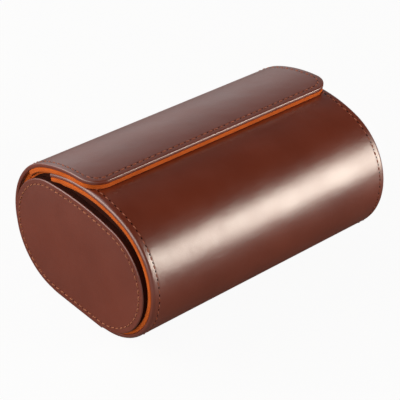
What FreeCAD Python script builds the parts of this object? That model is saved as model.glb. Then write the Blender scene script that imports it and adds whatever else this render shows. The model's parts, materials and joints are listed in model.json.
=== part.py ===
"""Two-watch travel case: an oval leather roll with a front wall that folds down and a flap over it.

The row frame is in millimetres. X runs along the roll, -Y is the front with the lapped flap, Z is up.
The origin is the middle of the flat bottom. Every wall is a stack of leather, board and suede lining
that follows one section of tangent arcs, so each layer is that section set in by a named depth.
"""
import FreeCAD, Part
import Sketcher
import os
import re

doc = FreeCAD.newDocument("watch_travel_case")
sheet = doc.addObject("Spreadsheet::Sheet", "Sizes")

# Driving sizes, each set by itself
DRIVING = [
    ("case_length", 149.4, "wrap from end to end, without the end caps"),
    ("case_width", 100.0, "front to back at the widest height"),
    ("case_height", 74.4, "bottom to the top of the flap"),
    ("belly_drop", 2.7, "how far the widest height lies below half the case's height"),
    ("crown_radius", 80.0, "outer radius of the back wall's and flap's top"),
    ("crown_shift", -4.0, "Y of the top's highest line"),
    ("leather", 1.0, "outer hide"),
    ("board", 1.1, "stiff board in the walls"),
    ("lining", 2.2, "padded suede lining"),
    ("lap_gap", 0.3, "between the front wall and the flap over it"),
    ("end_gap", 0.3, "between the front wall's ends and the end caps"),
    ("front_hinge_angle", 40.0, "how far up the lower front corner the front wall bends"),
    ("flap_hinge_share", 0.54614, "how far up the back shoulder the flap bends, as a share of it"),
    ("hinge_gap", 0.3, "slit between two walls along a bend"),
    ("board_relief", 5.0, "bare hide between a bend and the nearest board"),
    ("front_lip_reach", 3.0, "from the back end of the top arc to the front wall's upper edge"),
    ("flap_lip", -8.0, "Y of the flap's front edge"),
    ("flap_corner", 10.0, "rounding of the flap's two free corners"),
    ("flap_overhang", 0.6, "how far the flap stands out past the wrap's ends"),
    ("cap_front_rim", 5.0, "how far in from the wrap's front an end cap stops"),
    ("cap_back_rim", 3.0, "how far in from the wrap's back it stops"),
    ("cap_foot", 2.5, "height of an end cap's lower edge"),
    ("cap_drop", 12.4, "how far an end cap stops below the top of the flap"),
    ("cap_crown_shift", 4.0, "Y of the highest line of an end cap"),
    ("cap_roundness_share", 3.26, "radius of an end cap's top, as a share of half its width"),
    ("cap_leather", 0.9, "hide on the face of an end cap"),
    ("cap_board", 0.7, "board in the proud face of an end cap"),
    ("cap_plug", 2.6, "suede-covered plug of an end cap, inside the wrap"),
    ("fit_gap", 0.3, "between a piece inside the roll and the lining round it"),
    ("divider_drop", 28.4, "how far the centre divider stops below the top of the flap"),
    ("divider_board", 1.6, "board in the centre divider"),
    ("divider_suede", 1.4, "suede on each face of the centre divider"),
    ("strip", 0.8, "suede strip over the inside of a bend"),
    ("strip_width", 14.0, "width of such a strip, round the section"),
    ("pad", 2.5, "suede pad on the floor of each bay"),
    ("pillow_inset", 21.0, "from the case's sides to a watch pillow, front and back"),
    ("pillow_drop", 31.4, "how much less high than the case a watch pillow is"),
    ("pillow_round", 13.0, "rounding of the watch pillow's long edges"),
    ("pillow_skin", 1.2, "suede cover round the watch pillow's foam"),
    ("pillow_side_gap", 2.6, "from a pillow's end to the divider or the end cap"),
    ("pillow_rest_gap", 0.2, "between a pillow and its floor pad"),
    ("magnet_radius", 4.0, "hidden closing magnet"),
    ("magnet_thickness", 0.7, "hidden closing magnet"),
    ("magnet_gap", 0.1, "round a magnet in its hole in the board"),
    ("magnet_spread", 70.0, "between the two pairs of magnets"),
    ("overrun", 5.0, "how far a cutting shape runs past what it cuts"),
]

# Sizes worked out from the driving ones
DERIVED = [
    ("per_radian", "180 / pi", "degrees in a radian"),
    ("half_length", "case_length / 2", "middle to the wrap's end"),
    ("half_width", "case_width / 2", "middle to the wrap's side"),
    ("corner_radius", "case_height / 2 - belly_drop",
     "outer radius of the lower corners, and the widest height"),
    ("flat_half", "half_width - corner_radius", "half of the flat bottom's width"),
    ("skin", "leather + board", "depth of a wall's hide and board"),
    ("wall", "skin + lining", "depth of a whole wall"),
    ("crown_z", "case_height - crown_radius", "height of the top arcs' centre"),
    ("crown_rise", "corner_radius - crown_z", "from that centre up to the widest height"),
    ("back_reach", "half_width - crown_shift", "from that centre to the back"),
    ("front_reach", "half_width + crown_shift", "from that centre to the front"),
    ("lap_radius", "crown_radius - wall - lap_gap", "outer radius of the front wall's top"),
    ("back_shoulder", "(back_reach ^ 2 + crown_rise ^ 2 - crown_radius ^ 2)"
     " / (2 * (back_reach - crown_radius))", "outer radius of the back shoulder"),
    ("front_shoulder", "(front_reach ^ 2 + crown_rise ^ 2 - lap_radius ^ 2)"
     " / (2 * (front_reach - lap_radius))", "outer radius of the front shoulder"),
    ("back_shoulder_y", "half_width - back_shoulder", "Y of the back shoulder's centre"),
    ("front_shoulder_y", "front_shoulder - half_width", "Y of the front shoulder's centre"),
    ("back_join", "atan2(crown_rise; back_shoulder_y - crown_shift) / 1deg",
     "angle where the back shoulder meets the top"),
    ("front_join", "atan2(crown_rise; front_shoulder_y - crown_shift) / 1deg",
     "angle where the front shoulder meets the top"),
    ("flap_hinge_angle", "back_join * flap_hinge_share", "how far up the back shoulder the flap bends"),
    ("front_lip_angle", "back_join + front_lip_reach / lap_radius * per_radian",
     "angle of the front wall's upper edge"),
    ("flap_lip_angle", "acos((flap_lip - crown_shift) / crown_radius) / 1deg",
     "angle of the flap's front edge"),
    ("cap_half", "half_width - (cap_front_rim + cap_back_rim) / 2", "half of an end cap's width"),
    ("cap_middle", "(cap_front_rim - cap_back_rim) / 2", "Y halfway across an end cap"),
    ("cap_corner", "cap_half - flat_half", "lower corners of an end cap"),
    ("cap_corner_z", "cap_foot + cap_corner", "height of their centres"),
    ("cap_crown", "cap_half * cap_roundness_share", "top arc of an end cap"),
    ("cap_crown_z", "case_height - cap_drop - cap_crown", "height of its centre"),
    ("cap_rise", "cap_corner_z - cap_crown_z", "from that centre up to the widest height"),
    ("cap_back_reach", "cap_half + cap_middle - cap_crown_shift", "from that centre to the cap's back"),
    ("cap_front_reach", "cap_half - cap_middle + cap_crown_shift", "from that centre to its front"),
    ("cap_back", "(cap_back_reach ^ 2 + cap_rise ^ 2 - cap_crown ^ 2)"
     " / (2 * (cap_back_reach - cap_crown))", "back shoulder of an end cap"),
    ("cap_front", "(cap_front_reach ^ 2 + cap_rise ^ 2 - cap_crown ^ 2)"
     " / (2 * (cap_front_reach - cap_crown))", "front shoulder of an end cap"),
    ("cap_face", "cap_leather + cap_board", "how far an end cap stands proud of the wrap"),
    ("divider", "divider_board + 2 * divider_suede", "centre divider's whole thickness"),
    ("room", "wall + fit_gap", "depth at which pieces inside the roll begin"),
    ("bay_length", "half_length - cap_plug - divider / 2", "room for one pillow along X"),
    ("bay_middle", "(divider + bay_length) / 2", "X of a bay's middle"),
    ("pillow_length", "bay_length - 2 * pillow_side_gap", "watch pillow along X"),
    ("pillow_floor", "wall + pad + pillow_rest_gap", "height of a pillow's underside"),
    ("pillow_width", "case_width - 2 * pillow_inset", "watch pillow, front to back"),
    ("pillow_height", "case_height - pillow_drop", "watch pillow, bottom to top"),
    ("divider_top", "case_height - divider_drop", "height of the centre divider"),
    ("divider_corner", "divider_top - corner_radius", "rounding of its two upper corners"),
    ("magnet_tilt", "90 - (front_lip_angle + flap_lip_angle) / 2",
     "how far the magnets, halfway along the lap, lean back with the top"),
]

for row, (alias, value, meaning) in enumerate(DRIVING + DERIVED, 1):
    sheet.set(f"A{row}", meaning)
    sheet.set(f"B{row}", f"={value}" if isinstance(value, str) else str(value))
    sheet.setAlias(f"B{row}", alias)
doc.recompute()

ALIASES = re.compile(r"\b(" + "|".join(entry[0] for entry in DRIVING + DERIVED) + r")\b")


def bind(item, **formulas):
    """Bind properties of an object to formulas written in the sheet's names."""
    for name, formula in formulas.items():
        item.setExpression(name, ALIASES.sub(r"Sizes.\1", formula))


def place(item, x, y, z, turn="0"):
    """Put an object at a point, turned about X."""
    where = f"placement(vector({x}; {y}; {z}); rotation(vector(1; 0; 0); {turn}))"
    bind(item, Placement=where)


def box(name, x, y, z, length, width, height):
    item = doc.addObject("Part::Box", name)
    bind(item, Length=length, Width=width, Height=height)
    place(item, x, y, z)
    return item


def slice_along_x(name, middle, y, z, radius, start, end, length):
    """A slice of a cylinder that lies along X, from one angle to another, measured from +Y to +Z."""
    item = doc.addObject("Part::Cylinder", name)
    bind(item, Radius=radius, Height=length, Angle=f"({end}) - ({start})")
    bind(item, Placement=f"placement(vector({middle} - ({length}) / 2; {y}; {z});"
                         f" rotation(vector(1; 0; 0); {start}) * rotation(vector(1; 1; 1); 120))")
    return item


def upright(name, x, y, z, radius, height):
    item = doc.addObject("Part::Cylinder", name)
    bind(item, Radius=radius, Height=height)
    place(item, x, y, z)
    return item


def cut(name, base, tool):
    item = doc.addObject("Part::Cut", name)
    item.Base = base
    item.Tool = tool
    item.Refine = True
    return item


def common(name, *items):
    item = doc.addObject("Part::MultiCommon", name)
    item.Shapes = list(items)
    item.Refine = True
    return item


def fuse(name, *items):
    item = doc.addObject("Part::MultiFuse", name)
    item.Shapes = list(items)
    item.Refine = True
    return item


# Arcs of the section. Each is a centre, an outer radius and two angles. "relief" is how far a layer
# stops short of a bend, and "inset" how far it stops short of a free edge.
def base_arcs(relief):
    return [
        ("front_corner", "-flat_half", "corner_radius", "corner_radius",
         f"-90 - front_hinge_angle + ({relief}) / corner_radius * per_radian", "-90"),
        ("back_corner", "flat_half", "corner_radius", "corner_radius", "-90", "0"),
        ("back_shoulder", "back_shoulder_y", "corner_radius", "back_shoulder",
         "0", f"flap_hinge_angle - ({relief}) / back_shoulder * per_radian"),
    ]


def front_arcs(relief, inset):
    return [
        ("corner", "-flat_half", "corner_radius", "corner_radius",
         "-180", f"-90 - front_hinge_angle - ({relief}) / corner_radius * per_radian"),
        ("shoulder", "front_shoulder_y", "corner_radius", "front_shoulder", "front_join", "180"),
        ("crown", "crown_shift", "crown_z", "lap_radius",
         f"front_lip_angle + ({inset}) / lap_radius * per_radian", "front_join"),
    ]


def flap_arcs(relief):
    return [
        ("shoulder", "back_shoulder_y", "corner_radius", "back_shoulder",
         f"flap_hinge_angle + ({relief}) / back_shoulder * per_radian", "back_join"),
        ("crown", "crown_shift", "crown_z", "crown_radius",
         "back_join", "flap_lip_angle + overrun / crown_radius * per_radian"),
    ]


def ring_piece(name, middle, arc, outer, inner, length):
    """The stretch of one arc between two depths."""
    _, y, z, radius, start, end = arc
    whole = slice_along_x(name + "_slice", middle, y, z, f"{radius} - ({outer})", start, end, length)
    core = slice_along_x(name + "_core", middle, y, z, f"{radius} - ({inner})", "0", "360",
                         f"{length} + 2 * overrun")
    return cut(name, whole, core)


def band(name, arcs, outer, inner, length, bottom=False):
    """A layer that follows several arcs, and the flat bottom between the lower corners."""
    pieces = [ring_piece(f"{name}_{arc[0]}", "0", arc, outer, inner, length) for arc in arcs]
    if bottom:
        pieces.append(box(name + "_bottom", f"-({length}) / 2", "-flat_half", outer,
                          length, "2 * flat_half", f"{inner} - ({outer})"))
    return fuse(name, *pieces)


# Outlines for what closes or divides the roll: half width and the Y of its middle, corner and its
# height, two shoulders, and the top arc's radius and centre. The room inside the roll also stops at a
# ceiling, because its front half lies under the front wall. Behind that wall's upper edge an end cap's
# plug rises to the flap.
CAP = ("cap_half", "cap_middle", "cap_corner", "cap_corner_z", "cap_back", "cap_front",
       "cap_crown", "cap_crown_shift", "cap_crown_z")
ROOM = ("half_width", "0", "corner_radius", "corner_radius", "back_shoulder", "front_shoulder",
        "crown_radius", "crown_shift", "crown_z")


def oval(name, outline, inset, middle, thickness, ceiling=None, rises_behind=None):
    """A plate across the roll, its outline set in by a depth."""
    half, shift, corner, level, back, front, crown, crown_y, crown_level = outline
    back_y = f"({shift} + {half} - {back})"
    front_y = f"({shift} + {front} - {half})"
    flat = f"({half} - {corner})"
    back_join = f"(atan2({level} - {crown_level}; {back_y} - {crown_y}) / 1deg)"
    front_join = f"(atan2({level} - {crown_level}; {front_y} - {crown_y}) / 1deg)"

    def pie(part, y, z, radius, start, end):
        return slice_along_x(f"{name}_{part}", middle, y, z, f"{radius} - ({inset})",
                             start, end, thickness)

    lower = box(name + "_lower", f"{middle} - ({thickness}) / 2", f"{shift} - {flat}",
                f"{level} - {corner} + {inset}", thickness, f"2 * {flat}", f"{corner} - ({inset})")
    above = box(name + "_above", f"{middle} - ({thickness}) / 2", f"{shift} - {half}", level,
                thickness, f"2 * {half}", crown)
    top = common(name + "_top", pie("crown", crown_y, crown_level, crown, back_join, front_join), above)
    parts = [lower, top,
             pie("low_front", f"{shift} - {flat}", level, corner, "-180", "-90"),
             pie("low_back", f"{shift} + {flat}", level, corner, "-90", "0"),
             pie("back", back_y, level, back, "0", back_join),
             pie("front", front_y, level, front, front_join, "180")]
    if ceiling is None:
        return fuse(name, *parts)
    lid = pie("ceiling", crown_y, crown_level, ceiling, "0", "360")
    if rises_behind is not None:
        lid = fuse(name + "_lid", lid, pie("rise", crown_y, crown_level, crown, "0", rises_behind))
    return common(name, fuse(name + "_full", *parts), lid)


def magnet(name, side, depth, radius, thickness):
    """A disc in the top, square to the hide, with its middle at a depth below the flap's face."""
    item = doc.addObject("Part::Cylinder", name)
    bind(item, Radius=radius, Height=thickness)
    bind(item, Placement=f"placement(vector({side} * magnet_spread / 2; crown_shift; crown_z);"
                         f" rotation(vector(1; 0; 0); -magnet_tilt)) * placement(vector(0; 0;"
                         f" crown_radius - ({depth}) - ({thickness}) / 2); rotation(vector(0; 0; 1); 0))")
    return item


def magnets(wall_name, depth, board_blank):
    """Two magnets and the board with a hole round each."""
    pieces = []
    holes = []
    for side_name, side in (("left", "-1"), ("right", "1")):
        pieces.append(magnet(f"{wall_name}_magnet_{side_name}", side, depth,
                             "magnet_radius", "magnet_thickness"))
        holes.append(magnet(f"{wall_name}_magnet_hole_{side_name}", side, depth,
                            "magnet_radius + magnet_gap", "board + 2 * overrun"))
    drilled = cut(f"{wall_name}_board", board_blank, fuse(f"{wall_name}_magnet_holes", *holes))
    return pieces + [drilled]


# Base: bottom and back wall
def make_base():
    board = band("base_board", base_arcs("board_relief"), "leather", "skin",
                 "case_length - 2 * leather", bottom=True)
    block = band("base_block", base_arcs("hinge_gap / 2"), "0", "skin", "case_length", bottom=True)
    lining = band("base_lining", base_arcs("hinge_gap / 2"), "skin", "wall", "case_length", bottom=True)
    return [board, cut("base_leather", block, board), lining]


# Front wall: from the bend at the bottom, up the front and over the top
def make_front_wall():
    length = "(case_length - 2 * end_gap)"
    blank = band("front_board_blank", front_arcs("board_relief", "leather"), "leather", "skin",
                 f"{length} - 2 * leather")
    block = band("front_block", front_arcs("hinge_gap / 2", "0"), "0", "skin", length)
    lining = band("front_lining", front_arcs("hinge_gap / 2", "0"), "skin", "wall", length)
    fitted = magnets("front", "wall + lap_gap + leather + board / 2", blank)
    return fitted + [cut("front_leather", block, blank), lining]


# Flap: from the bend in the back shoulder, over the front wall
def flap_plan(name, inset):
    """An upright block with the flap's plan, its two front corners rounded."""
    half = f"(half_length + flap_overhang - ({inset}))"
    front = f"(flap_lip + {inset})"
    corner = f"(flap_corner - ({inset}))"
    pieces = [
        box(name + "_wide", f"-{half}", f"{front} + {corner}", "corner_radius",
            f"2 * {half}", "case_width", "case_height"),
        box(name + "_lip", f"{corner} - {half}", front, "corner_radius",
            f"2 * {half} - 2 * {corner}", "case_width", "case_height"),
    ]
    for side_name, side in (("left", "-1"), ("right", "1")):
        pieces.append(upright(f"{name}_corner_{side_name}", f"{side} * ({half} - {corner})",
                              f"{front} + {corner}", "corner_radius", corner, "case_height"))
    return fuse(name, *pieces)


def make_flap():
    length = "case_length + 2 * flap_overhang"
    whole = flap_plan("flap_plan", "0")
    inner = flap_plan("flap_board_plan", "leather")
    blank = common("flap_board_blank", inner, band("flap_board_band", flap_arcs("board_relief"),
                                                   "leather", "skin", length))
    block = common("flap_block", whole, band("flap_block_band", flap_arcs("hinge_gap / 2"),
                                             "0", "skin", length))
    lining = common("flap_lining", whole, band("flap_lining_band", flap_arcs("hinge_gap / 2"),
                                               "skin", "wall", length))
    fitted = magnets("flap", "leather + board / 2", blank)
    return fitted + [cut("flap_leather", block, blank), lining]


# End caps: a proud leather face turned over a board, and a suede plug inside the wrap
def make_cap(side_name, side):
    board = oval(f"{side_name}_cap_board", CAP, "leather",
                 f"{side} * (half_length + cap_board / 2)", "cap_board")
    face = oval(f"{side_name}_cap_face", CAP, "0", f"{side} * (half_length + cap_face / 2)", "cap_face")
    plug = oval(f"{side_name}_cap_lining", ROOM, "room", f"{side} * (half_length - cap_plug / 2)",
                "cap_plug", "lap_radius", "front_lip_angle - fit_gap / lap_radius * per_radian")
    return [board, cut(f"{side_name}_cap_leather", face, board), plug]


# Centre divider: a board between two suede faces, level at the top with two rounded corners
def divider_plate(name, middle, thickness):
    side = f"{middle} - ({thickness}) / 2"
    corner_y = "(half_width - room - divider_corner)"
    lower = box(name + "_lower_half", side, "-half_width", "0", thickness, "case_width", "corner_radius")
    upper = box(name + "_upper_half", side, f"-{corner_y}", "0", thickness, f"2 * {corner_y}",
                "divider_top")
    corners = [slice_along_x(f"{name}_corner_{where}", middle, y, "corner_radius", "divider_corner",
                             start, end, thickness)
               for where, y, start, end in (("front", f"-{corner_y}", "90", "180"),
                                            ("back", corner_y, "0", "90"))]
    return common(name, oval(name + "_oval", ROOM, "room", middle, thickness, "lap_radius"),
                  fuse(name + "_below", lower, upper, *corners))


def make_divider():
    middle = "(divider_board + divider_suede) / 2"
    return [
        divider_plate("divider_board", "0", "divider_board"),
        divider_plate("divider_suede_left", f"-{middle}", "divider_suede"),
        divider_plate("divider_suede_right", middle, "divider_suede"),
    ]


# Suede strips that cover the two bends from the inside
def strip_arc(name, y, radius, angle):
    reach = f"strip_width / 2 / ({radius} - room) * per_radian"
    return (name, y, "corner_radius", radius, f"{angle} - {reach}", f"{angle} + {reach}")


def make_strips():
    front = strip_arc("front", "-flat_half", "corner_radius", "-90 - front_hinge_angle")
    back = strip_arc("back", "back_shoulder_y", "back_shoulder", "flap_hinge_angle")
    length = "bay_length - 2 * fit_gap"
    return [
        ring_piece("front_hinge_strip_left", "-bay_middle", front, "room", "room + strip", length),
        ring_piece("front_hinge_strip_right", "bay_middle", front, "room", "room + strip", length),
        ring_piece("flap_hinge_strip", "0", back, "room", "room + strip",
                   "2 * (half_length - cap_plug - fit_gap)"),
    ]


# Floor pad and watch pillow of one bay
def make_floor_pad(side_name, side):
    return box(f"{side_name}_floor_pad", f"{side} * bay_middle - pillow_length / 2", "-flat_half", "wall",
               "pillow_length", "2 * flat_half", "pad")


def rounded_bar(name, side, inset, length):
    """A pillow's section, drawn on the body's YZ plane and padded along X, long edges rounded."""
    body = doc.addObject("PartDesign::Body", name)
    plane = [part for part in body.Origin.OriginFeatures if part.Role == "YZ_Plane"][0]
    sketch = body.newObject("Sketcher::SketchObject", name + "_section")
    sketch.AttachmentSupport = (plane, [""])
    sketch.MapMode = "FlatFace"
    corners = [FreeCAD.Vector(-1, 0, 0), FreeCAD.Vector(1, 0, 0),
               FreeCAD.Vector(1, 1, 0), FreeCAD.Vector(-1, 1, 0)]
    for first, last in zip(corners, corners[1:] + corners[:1]):
        sketch.addGeometry(Part.LineSegment(first, last))
    start, end = 1, 2
    for line in range(len(corners)):
        sketch.addConstraint(Sketcher.Constraint("Coincident", line, end, (line + 1) % len(corners), start))
    for line, kind in enumerate(("Horizontal", "Vertical", "Horizontal", "Vertical")):
        sketch.addConstraint(Sketcher.Constraint(kind, line))
    origin = -1
    driven = [
        ("DistanceX", (0, start, origin, 1), f"pillow_width / 2 - ({inset})"),
        ("DistanceX", (0, start, 0, end), f"pillow_width - 2 * ({inset})"),
        ("DistanceY", (origin, 1, 0, start), f"pillow_floor + {inset}"),
        ("DistanceY", (1, start, 1, end), f"pillow_height - 2 * ({inset})"),
    ]
    for kind, points, formula in driven:
        number = sketch.addConstraint(Sketcher.Constraint(kind, *points, 1.0))
        bind(sketch, **{f"Constraints[{number}]": formula})
    solid = body.newObject("PartDesign::Pad", name + "_pad")
    solid.Profile = sketch
    solid.Midplane = True
    bind(solid, Length=length)
    doc.recompute()
    long_edges = [f"Edge{number}" for number, edge in enumerate(solid.Shape.Edges, 1)
                  if abs(edge.tangentAt(edge.FirstParameter).x) > 0.9]
    rounding = body.newObject("PartDesign::Fillet", name + "_rounding")
    rounding.Base = (solid, long_edges)
    bind(rounding, Radius=f"pillow_round - ({inset})")
    place(body, f"{side} * bay_middle", "0", "0")
    return body


def make_pillow(side_name, side):
    name = f"{side_name}_pillow"
    core = rounded_bar(name + "_core", side, "pillow_skin", "pillow_length - 2 * pillow_skin")
    outside = rounded_bar(name + "_outside", side, "0", "pillow_length - 2 * pillow_skin")
    pieces = [core, cut(name + "_cover", outside, core)]
    for end_name, end in (("left", "-1"), ("right", "1")):
        panel = rounded_bar(f"{name}_end_{end_name}", side, "0", "pillow_skin")
        place(panel, f"{side} * bay_middle + {end} * (pillow_length - pillow_skin) / 2", "0", "0")
        pieces.append(panel)
    return pieces


parts = make_base() + make_front_wall() + make_flap() + make_divider() + make_strips()
for cap_side, cap_sign in (("left", "-1"), ("right", "1")):
    parts += make_cap(cap_side, cap_sign)
    parts.append(make_floor_pad(cap_side, cap_sign))
    parts += make_pillow(cap_side, cap_sign)
doc.recompute()

# Stop on anything that failed, before a file is written
for item in doc.Objects:
    if "Invalid" in item.State or "Error" in item.State:
        raise RuntimeError(f"{item.Name} failed: {item.State}")
for item in parts:
    if item.Shape.isNull() or not item.Shape.isValid() or not item.Shape.Solids:
        raise RuntimeError(f"{item.Name} has no valid solid")

os.makedirs("parts", exist_ok=True)
for item in parts:
    item.Shape.exportStep(f"parts/{item.Label}.step")
    bounds = item.Shape.BoundBox
    print(f"{item.Label}: {len(item.Shape.Solids)} solid, {item.Shape.Volume:.0f} mm3,"
          f" Z {bounds.ZMin:.2f} to {bounds.ZMax:.2f}")
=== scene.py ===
# %% [markdown]
# A travel roll for two watches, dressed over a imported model.
# The model's solids give every place and size in metres, with X along the roll, -Y to the front and Z
# up. This file loads them as a fixed frame and builds what the eye sees on top: one hide cut and
# wrapped round the roll, an orange suede lining, sewn end caps, a divider and two soft watch pillows.

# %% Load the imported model
import json
import math
from collections import namedtuple

import bmesh
import bpy
from mathutils import Matrix, Vector


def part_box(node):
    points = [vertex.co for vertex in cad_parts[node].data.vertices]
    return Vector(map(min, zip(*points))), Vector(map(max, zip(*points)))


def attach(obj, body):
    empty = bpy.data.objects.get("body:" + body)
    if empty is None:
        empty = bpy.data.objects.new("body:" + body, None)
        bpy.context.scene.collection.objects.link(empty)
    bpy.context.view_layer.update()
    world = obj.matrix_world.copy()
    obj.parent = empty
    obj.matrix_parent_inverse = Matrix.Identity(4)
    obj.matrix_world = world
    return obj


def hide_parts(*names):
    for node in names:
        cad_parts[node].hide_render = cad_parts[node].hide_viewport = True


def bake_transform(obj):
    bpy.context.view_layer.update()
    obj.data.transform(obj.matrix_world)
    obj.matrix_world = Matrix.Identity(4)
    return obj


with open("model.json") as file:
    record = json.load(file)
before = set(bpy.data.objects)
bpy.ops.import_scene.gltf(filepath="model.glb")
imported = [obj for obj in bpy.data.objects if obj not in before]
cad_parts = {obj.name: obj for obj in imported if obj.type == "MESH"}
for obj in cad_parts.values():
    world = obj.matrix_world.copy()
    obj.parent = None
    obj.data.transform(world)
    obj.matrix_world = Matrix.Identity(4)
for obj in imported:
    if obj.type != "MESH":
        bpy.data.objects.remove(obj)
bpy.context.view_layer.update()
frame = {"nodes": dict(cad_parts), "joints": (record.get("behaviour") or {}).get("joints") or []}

print("solids in the frame:", len(frame["nodes"]))

# %% [markdown]
# Sizes come first. A wall of the roll is a stack of hide, board and suede, and every layer follows one
# outline of arcs that run into each other without a corner. Two widths and two radii fix that outline,
# and the shoulders follow from them, so nothing has to be fitted by eye.

# %% Sizes of the roll
MM = 0.001
HALF_LENGTH = 74.7 * MM
HALF_WIDTH = 50.0 * MM
TOP = 74.4 * MM
LEVEL = 34.5 * MM          # height of the widest line, and the radius of the lower corners
FLAT = HALF_WIDTH - LEVEL  # half of the flat bottom
CROWN_R = 80.0 * MM
CROWN_Y = -4.0 * MM
CROWN_Z = TOP - CROWN_R
LAP_R = 75.4 * MM          # the front wall's top lies under the flap
END_GAP = 0.3 * MM
SKIN = 2.1 * MM            # hide and board
FRONT_SKIN = 2.2 * MM      # the same on the front wall, which is a little thicker
WALL = 4.3 * MM            # hide, board and suede
ROOM = 4.6 * MM            # where the pieces inside begin
FLAP_LIP_Y = -8.0 * MM     # the flap ends a little in front of the middle
FRONT_STOPS = 3.0 * MM     # from the front wall's lip to the back shoulder


def shoulder(side, half, middle, level, crown):
    """Centre, radius and upper end of the arc from an oval's widest point, on the back for side +1, to
    its crown, which is given by its centre and radius. Level is the height of the widest point."""
    crown_y, crown_z, crown_radius = crown
    reach = half + side * (middle - crown_y)
    rise = level - crown_z
    radius = (reach**2 + rise**2 - crown_radius**2) / (2 * (reach - crown_radius))
    y = middle + side * (half - radius)
    return y, radius, math.degrees(math.atan2(rise, y - crown_y))


BACK_Y, BACK_R, BACK_JOIN = shoulder(1, HALF_WIDTH, 0, LEVEL, (CROWN_Y, CROWN_Z, CROWN_R))
FRONT_Y, FRONT_R, FRONT_JOIN = shoulder(-1, HALF_WIDTH, 0, LEVEL, (CROWN_Y, CROWN_Z, LAP_R))
FLAP_LIP = math.degrees(math.acos((FLAP_LIP_Y - CROWN_Y) / CROWN_R))
FRONT_LIP = BACK_JOIN + math.degrees(FRONT_STOPS / LAP_R)
print(f"shoulders {BACK_R / MM:.2f} and {FRONT_R / MM:.2f} mm, joins {BACK_JOIN:.1f} and {FRONT_JOIN:.1f}")

# %% [markdown]
# The roll bends along two lines. Their places come from the frame's joints: the flap begins to widen
# at one, and the suede strips lie over both.

# %% The two bends
joints = {joint["name"]: joint for joint in frame["joints"]}


def pivot(name):
    return Vector(joints[name]["pos_m"])


def angle_on(centre_y, point):
    """Angle of a point round a centre at the widest height, from +Y towards +Z, in degrees."""
    return math.degrees(math.atan2(point.z - LEVEL, point.y - centre_y))


FLAP_BEND = pivot("flap_hinge")
FRONT_BEND = pivot("front_wall_hinge")
FLAP_BEND_ANGLE = angle_on(BACK_Y, FLAP_BEND)
FRONT_BEND_ANGLE = angle_on(-FLAT, FRONT_BEND)
print(f"bends at {FLAP_BEND_ANGLE:.2f} and {FRONT_BEND_ANGLE:.2f} degrees")

# %% [markdown]
# A leather worker cuts a panel flat and then wraps it. The same order works here: each panel is
# modelled flat, with X across, Y along and Z as height over the hide's face, and one function then
# lays every point on the outline. Stitches are laid down by the same function, so they can't miss.

# %% Lay flat work on the outline
Arc = namedtuple("Arc", "y z radius start end")
Flat = namedtuple("Flat", "start end")


def stretch(piece):
    """How long a piece of outline is, on the hide's face."""
    if isinstance(piece, Flat):
        return abs(piece.end - piece.start)
    return piece.radius * abs(math.radians(piece.end - piece.start))


def length_of(path):
    return sum(stretch(piece) for piece in path)


def lay(path, x, along, height):
    """The point over a path, at a distance along it and a height over the hide's face."""
    for piece in path:
        if along <= stretch(piece) or piece is path[-1]:
            break
        along -= stretch(piece)
    way = math.copysign(1, piece.end - piece.start)
    if isinstance(piece, Flat):
        return Vector((x, piece.start + way * along, -height))
    angle = math.radians(piece.start) + way * along / piece.radius
    out = piece.radius + height
    return Vector((x, piece.y + out * math.cos(angle), piece.z + out * math.sin(angle)))


under = [Flat(-FLAT, FLAT)]
back = [Arc(FLAT, LEVEL, LEVEL, -90, 0), Arc(BACK_Y, LEVEL, BACK_R, 0, BACK_JOIN)]
lap = [Arc(CROWN_Y, CROWN_Z, CROWN_R, BACK_JOIN, FLAP_LIP)]
WRAP = under + back + lap
FRONT = [Arc(-FLAT, LEVEL, LEVEL, -90, -180),
         Arc(FRONT_Y, LEVEL, FRONT_R, 180, FRONT_JOIN),
         Arc(CROWN_Y, CROWN_Z, LAP_R, FRONT_JOIN, FRONT_LIP)]
WRAP_LENGTH = length_of(WRAP)
FRONT_LENGTH = length_of(FRONT)
print(f"wrap {WRAP_LENGTH / MM:.1f} mm, front {FRONT_LENGTH / MM:.1f} mm")

# %% [markdown]
# The flap is a little wider than the body that it closes, and the lining hides inside the back wall but
# shows all round the flap. Both change gently past the bend, with a curve that starts and ends level.

# %% Width along the wrap
FLAP_STARTS = length_of(under + back[:1]) + BACK_R * math.radians(FLAP_BEND_ANGLE)
FLAP_OVERHANG = 0.6 * MM
FLAP_GROWS = 15 * MM
LINING_TUCK = 1.9 * MM
LINING_GROWS = 5 * MM


def smoothly(value):
    share = min(max(value, 0), 1)
    return share * share * (3 - 2 * share)


def widening(along):
    """How much wider than the body the wrap is, at a distance along it."""
    return 1 + FLAP_OVERHANG / HALF_LENGTH * smoothly((along - FLAP_STARTS) / FLAP_GROWS)


def tucked(along):
    """How wide the wrap's lining is, at a distance along it."""
    left = smoothly((FLAP_STARTS + LINING_GROWS - along) / LINING_GROWS)
    return widening(along) - LINING_TUCK / HALF_LENGTH * left

# %% [markdown]
# A small set of helpers turns a bmesh into an object. The flat place of each point is kept on the mesh
# as an attribute, and the materials read it, so that grain and nap stay on the hide when it bends.

# %% Helpers for meshes
NEAR = 1e-6
SMOOTH_BELOW = math.radians(50)


def keep_flat_place(bm):
    layer = bm.verts.layers.float_vector.new("flat")
    for vert in bm.verts:
        vert[layer] = vert.co


def wrap(bm, path, spread=None):
    """Bends flat work onto a path, after a spread has made it wider or narrower along the way."""
    for vert in bm.verts:
        x, along, height = vert.co
        vert.co = lay(path, x * spread(along) if spread else x, along, height)


def add_object(name, data):
    obj = bpy.data.objects.new(name, data)
    bpy.context.scene.collection.objects.link(obj)
    return obj


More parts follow.
